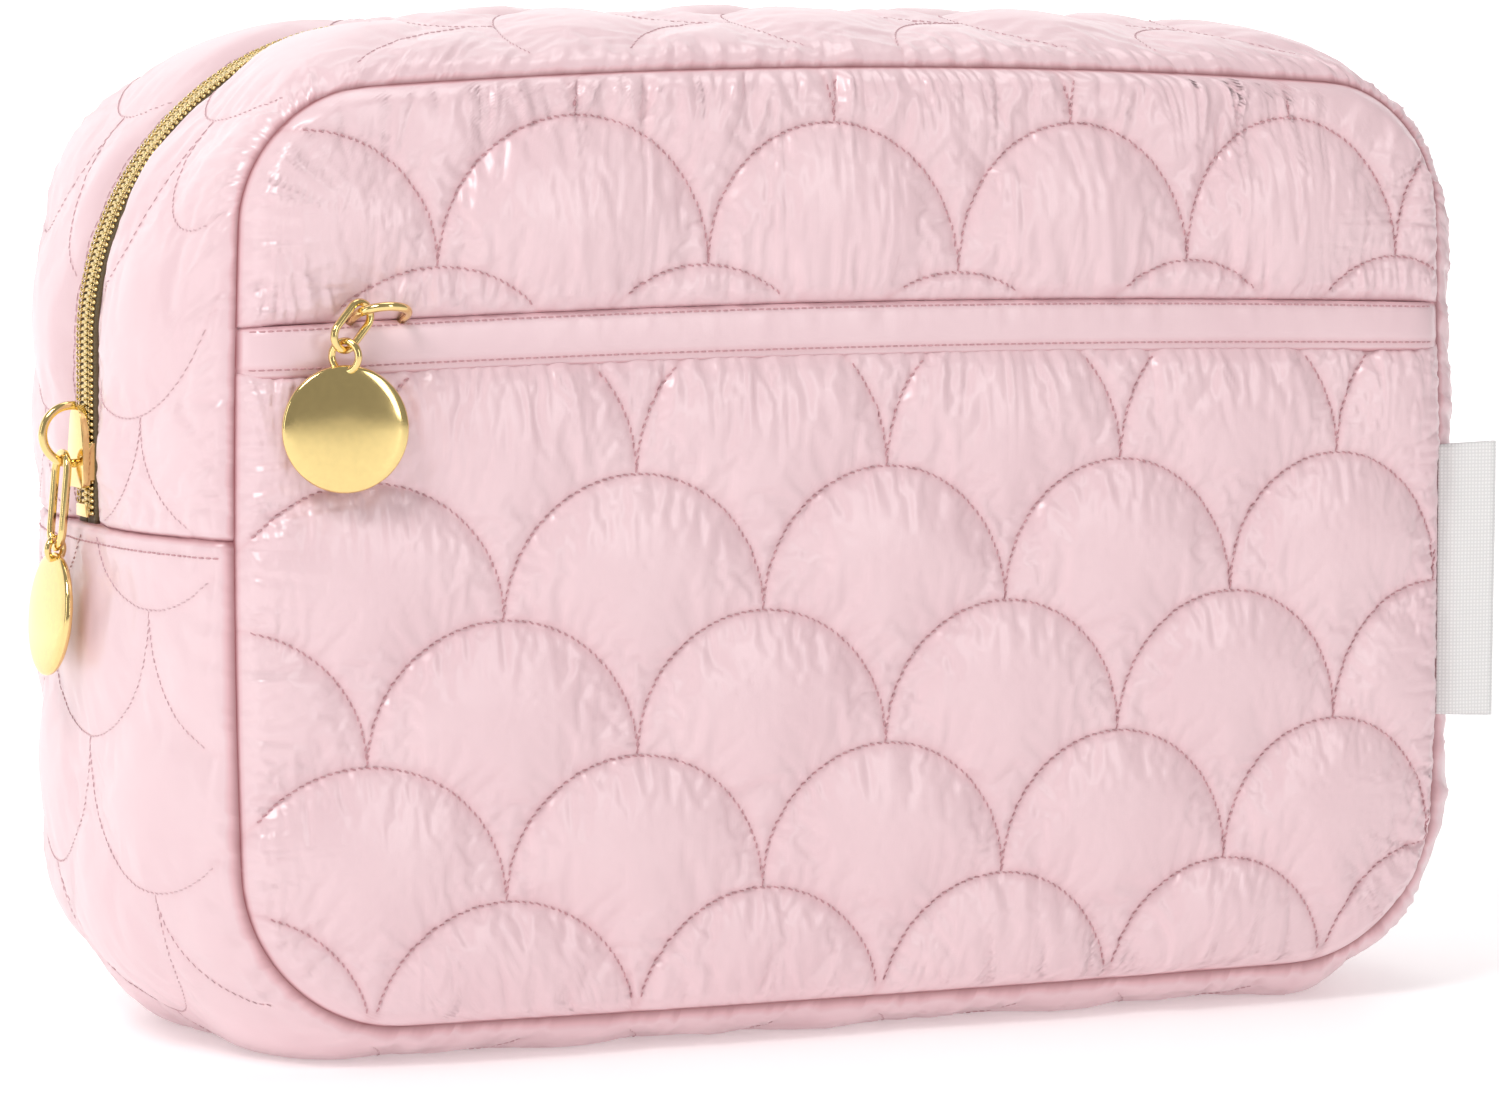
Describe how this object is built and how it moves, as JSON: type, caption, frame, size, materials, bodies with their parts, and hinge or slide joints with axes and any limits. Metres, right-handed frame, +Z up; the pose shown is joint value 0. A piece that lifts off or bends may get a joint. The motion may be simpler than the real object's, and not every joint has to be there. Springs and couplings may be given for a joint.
{
  "type": "makeup bag",
  "caption": "Boxy quilted makeup bag with a wrap-around zipper, a zipped front pocket, disc pulls on wire links and a folded ribbon in the side seam.",
  "frame": {"origin": "centre of the flat base, on the surface that the bag stands on", "axes": "+X right along the front, +Y from the front to the back, +Z up"},
  "size_m": [0.2577, 0.1084, 0.1729],
  "materials": {
    "quilted_nylon": "glossy quilted nylon",
    "lining": "plain woven lining",
    "padding": "soft wadding",
    "woven_tape": "woven zipper tape",
    "gold_coil": "metallised coil",
    "pink_coil": "dyed coil",
    "gold_metal": "polished pale gold plate",
    "ribbon": "plain woven ribbon"
  },
  "bodies": {
    "root": {"base_gusset": "quilted_nylon", "base_gusset_lining": "lining", "pocket_panel": "quilted_nylon", "pocket_welt": "quilted_nylon", "pocket_lining_front": "lining", "pocket_lining_back": "lining", "front_divider": "padding", "front_lining": "lining", "back_panel_lower": "quilted_nylon", "back_lining_lower": "lining", "front_gusset_sides": "quilted_nylon", "back_gusset_sides": "quilted_nylon", "front_tape_ends": "woven_tape", "back_tape_ends": "woven_tape", "front_coil_ends": "gold_coil", "back_coil_ends": "gold_coil", "front_seam_binding": "woven_tape", "back_seam_binding": "woven_tape", "pocket_tape_lower": "woven_tape", "pocket_tape_upper": "woven_tape", "pocket_coil_lower": "pink_coil", "pocket_coil_upper": "pink_coil", "main_end_stops": "gold_metal", "pocket_end_stops": "gold_metal"},
    "front_flap": {"front_panel_upper": "quilted_nylon", "front_lining_upper": "lining", "front_gusset_arch": "quilted_nylon", "front_arch_lining": "lining", "front_zip_tape": "woven_tape", "front_zip_coil": "gold_coil", "front_arch_binding": "woven_tape"},
    "back_flap": {"back_panel_upper": "quilted_nylon", "back_lining_upper": "lining", "back_gusset_arch": "quilted_nylon", "back_arch_lining": "lining", "back_zip_tape": "woven_tape", "back_zip_coil": "gold_coil", "back_arch_binding": "woven_tape"},
    "main_slider": {"main_slider_body": "gold_metal", "main_slider_bridge": "gold_metal"},
    "main_link": {"main_pull_link": "gold_metal"},
    "main_disc": {"main_pull_disc": "gold_metal"},
    "pocket_slider": {"pocket_slider_body": "gold_metal", "pocket_slider_bridge": "gold_metal"},
    "pocket_link": {"pocket_pull_link": "gold_metal"},
    "pocket_disc": {"pocket_pull_disc": "gold_metal"},
    "side_tag": {"side_tag": "ribbon"}
  },
  "joints": [
    {"name": "front_flap_fold", "type": "hinge", "parent": "root", "child": "front_flap", "pos_m": [0, -0.0503, 0.12525], "axis": [1, 0, 0], "range_deg": [0, 45]},
    {"name": "back_flap_fold", "type": "hinge", "parent": "root", "child": "back_flap", "pos_m": [0, 0.0503, 0.12525], "axis": [-1, 0, 0], "range_deg": [0, 45]},
    {"name": "main_slider_slide", "type": "slide", "parent": "root", "child": "main_slider", "axis": [0, 0, 1], "range_m": [0, 0.0155]},
    {"name": "main_link_swing", "type": "hinge", "parent": "main_slider", "child": "main_link", "pos_m": [-0.126, 0, 0.104], "axis": [0, 1, 0], "range_deg": [-5, 110]},
    {"name": "main_disc_swing", "type": "hinge", "parent": "main_link", "child": "main_disc", "pos_m": [-0.12885, 0, 0.08496], "axis": [0, 1, 0], "range_deg": [0, 60]},
    {"name": "pocket_slider_slide", "type": "slide", "parent": "root", "child": "pocket_slider", "axis": [1, 0, 0], "range_m": [0, 0.184]},
    {"name": "pocket_link_swing", "type": "hinge", "parent": "pocket_slider", "child": "pocket_link", "pos_m": [-0.09423, -0.05476, 0.12632], "axis": [0, 1, 0], "range_deg": [-45, 30]},
    {"name": "pocket_disc_swing", "type": "hinge", "parent": "pocket_link", "child": "pocket_disc", "pos_m": [-0.09715, -0.05583, 0.12036], "axis": [-0.9397, -0.342, 0], "range_deg": [0, 60]},
    {"name": "side_tag_fold", "type": "hinge", "parent": "root", "child": "side_tag", "pos_m": [0.115, -0.0465, 0.07375], "axis": [0, 0, -1], "range_deg": [0, 75], "stiffness_Nm_per_rad": 0.0005}
  ]
}
